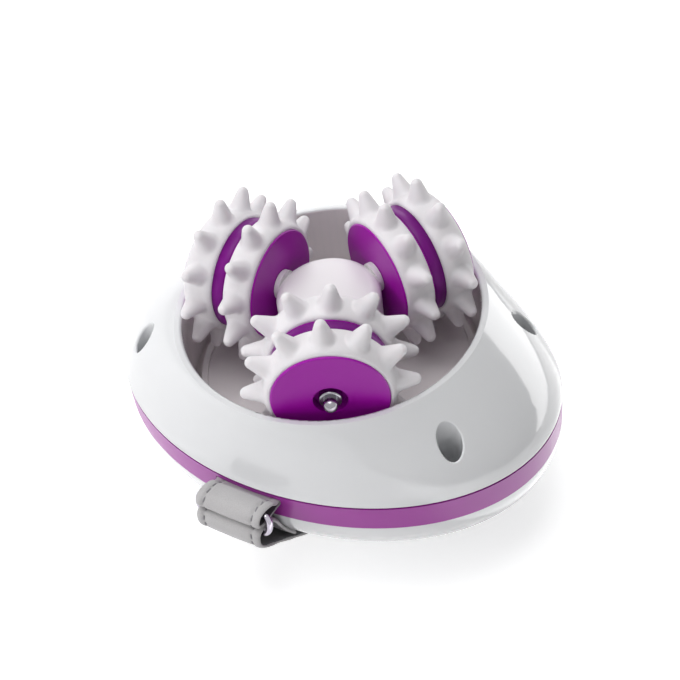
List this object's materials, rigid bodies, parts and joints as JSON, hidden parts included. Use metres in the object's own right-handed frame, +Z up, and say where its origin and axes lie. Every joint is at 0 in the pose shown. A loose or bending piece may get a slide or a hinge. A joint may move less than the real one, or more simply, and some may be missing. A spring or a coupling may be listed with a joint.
{
  "type": "roller massager",
  "caption": "Hand-held roller massager: an oval housing with a round bowl, studded wheels on a turning head in it, and a hand strap across its domed back.",
  "frame": {"origin": "on the ground under the middle of the oval, at the underside of the hand strap on which the massager lies", "axes": "+X along the oval, away from the supply inlet; +Y across it, along the strap; +Z up, out of the bowl"},
  "size_m": [0.16, 0.1464, 0.1064],
  "materials": {
    "shell_white": "gloss",
    "trim_purple": "satin",
    "disc_purple": "gloss",
    "tyre_white": "satin",
    "steel": "polished",
    "steel_screw": "satin",
    "ring_metal": "polished",
    "strap_grey": "matt",
    "gear_cream": "satin",
    "bush_grey": "satin",
    "deck_grey": "satin",
    "board_green": "satin",
    "inlet_black": "satin",
    "switch_purple": "satin",
    "motor_steel": "satin"
  },
  "bodies": {
    "housing": {"upper_shell": "shell_white", "trim_ring": "trim_purple", "lower_shell": "shell_white", "case_screws": "steel_screw", "spindle_bush_upper": "bush_grey", "spindle_bush_lower": "bush_grey", "gear_deck": "deck_grey", "deck_screws": "steel_screw", "motor_screws": "steel_screw", "layshaft_pin": "steel", "motor_can": "motor_steel", "circuit_board": "board_green", "dc_jack": "inlet_black", "switch_body": "inlet_black", "strap_band": "strap_grey", "strap_tab_front": "strap_grey", "strap_tab_back": "strap_grey", "tab_rods": "steel_screw"},
    "head": {"turntable": "shell_white", "hub_body": "shell_white", "hub_cap": "shell_white", "hub_screws": "steel_screw", "head_spindle": "steel", "spindle_clip": "steel_screw", "output_gear": "gear_cream", "axle_1": "steel", "axle_2": "steel", "axle_3": "steel", "hub_collars": "shell_white", "wheel_spacers": "shell_white", "axle_sleeves": "steel"},
    "wheel_1_inner": {"wheel_core_1_inner": "disc_purple", "tyre_1_inner": "tyre_white"},
    "wheel_1_outer": {"wheel_core_1_outer": "disc_purple", "tyre_1_outer": "tyre_white"},
    "wheel_2_inner": {"wheel_core_2_inner": "disc_purple", "tyre_2_inner": "tyre_white"},
    "wheel_2_outer": {"wheel_core_2_outer": "disc_purple", "tyre_2_outer": "tyre_white"},
    "wheel_3_inner": {"wheel_core_3_inner": "disc_purple", "tyre_3_inner": "tyre_white"},
    "wheel_3_outer": {"wheel_core_3_outer": "disc_purple", "tyre_3_outer": "tyre_white"},
    "layshaft": {"compound_gear": "gear_cream"},
    "motor_rotor": {"motor_shaft": "steel", "motor_pinion": "gear_cream"},
    "switch": {"switch_knob": "switch_purple"},
    "ring_front": {"strap_ring_front": "ring_metal"},
    "ring_back": {"strap_ring_back": "ring_metal"}
  },
  "joints": [
    {"name": "head_spin", "type": "hinge", "parent": "housing", "child": "head", "pos_m": [0.001, 0, 0.07481], "axis": [0, 0, 1], "continuous": true},
    {"name": "wheel_1_inner_spin", "type": "hinge", "parent": "head", "child": "wheel_1_inner", "pos_m": [0.01323, -0.02117, 0.07801], "axis": [0.5, -0.866, 0], "continuous": true},
    {"name": "wheel_1_outer_spin", "type": "hinge", "parent": "head", "child": "wheel_1_outer", "pos_m": [0.02063, -0.03399, 0.07801], "axis": [0.5, -0.866, 0], "continuous": true},
    {"name": "wheel_2_inner_spin", "type": "hinge", "parent": "head", "child": "wheel_2_inner", "pos_m": [0.01323, 0.02117, 0.07801], "axis": [0.5, 0.866, 0], "continuous": true},
    {"name": "wheel_2_outer_spin", "type": "hinge", "parent": "head", "child": "wheel_2_outer", "pos_m": [0.02063, 0.03399, 0.07801], "axis": [0.5, 0.866, 0], "continuous": true},
    {"name": "wheel_3_inner_spin", "type": "hinge", "parent": "head", "child": "wheel_3_inner", "pos_m": [-0.02345, 0, 0.07801], "axis": [-1, 0, 0], "continuous": true},
    {"name": "wheel_3_outer_spin", "type": "hinge", "parent": "head", "child": "wheel_3_outer", "pos_m": [-0.03825, 0, 0.07801], "axis": [-1, 0, 0], "continuous": true},
    {"name": "layshaft_spin", "type": "hinge", "parent": "housing", "child": "layshaft", "pos_m": [-0.02498, 0.015, 0.03546], "axis": [0, 0, 1], "continuous": true},
    {"name": "motor_spin", "type": "hinge", "parent": "housing", "child": "motor_rotor", "pos_m": [-0.02423, -0.00659, 0.03076], "axis": [0, 0, 1], "continuous": true},
    {"name": "switch_slide", "type": "slide", "parent": "housing", "child": "switch", "axis": [0, 1, 0], "range_m": [-0.0035, 0.0035]},
    {"name": "strap_ring_front_swing", "type": "hinge", "parent": "housing", "child": "ring_front", "pos_m": [0, -0.067, 0.04618], "axis": [1, 0, 0], "range_deg": [-3, 15]},
    {"name": "strap_ring_back_swing", "type": "hinge", "parent": "housing", "child": "ring_back", "pos_m": [0, 0.067, 0.04618], "axis": [-1, 0, 0], "range_deg": [-3, 15]}
  ],
  "couplings": [
    {"joint": "layshaft_spin", "follows": "head_spin", "ratio": -4},
    {"joint": "motor_spin", "follows": "head_spin", "ratio": 14}
  ]
}
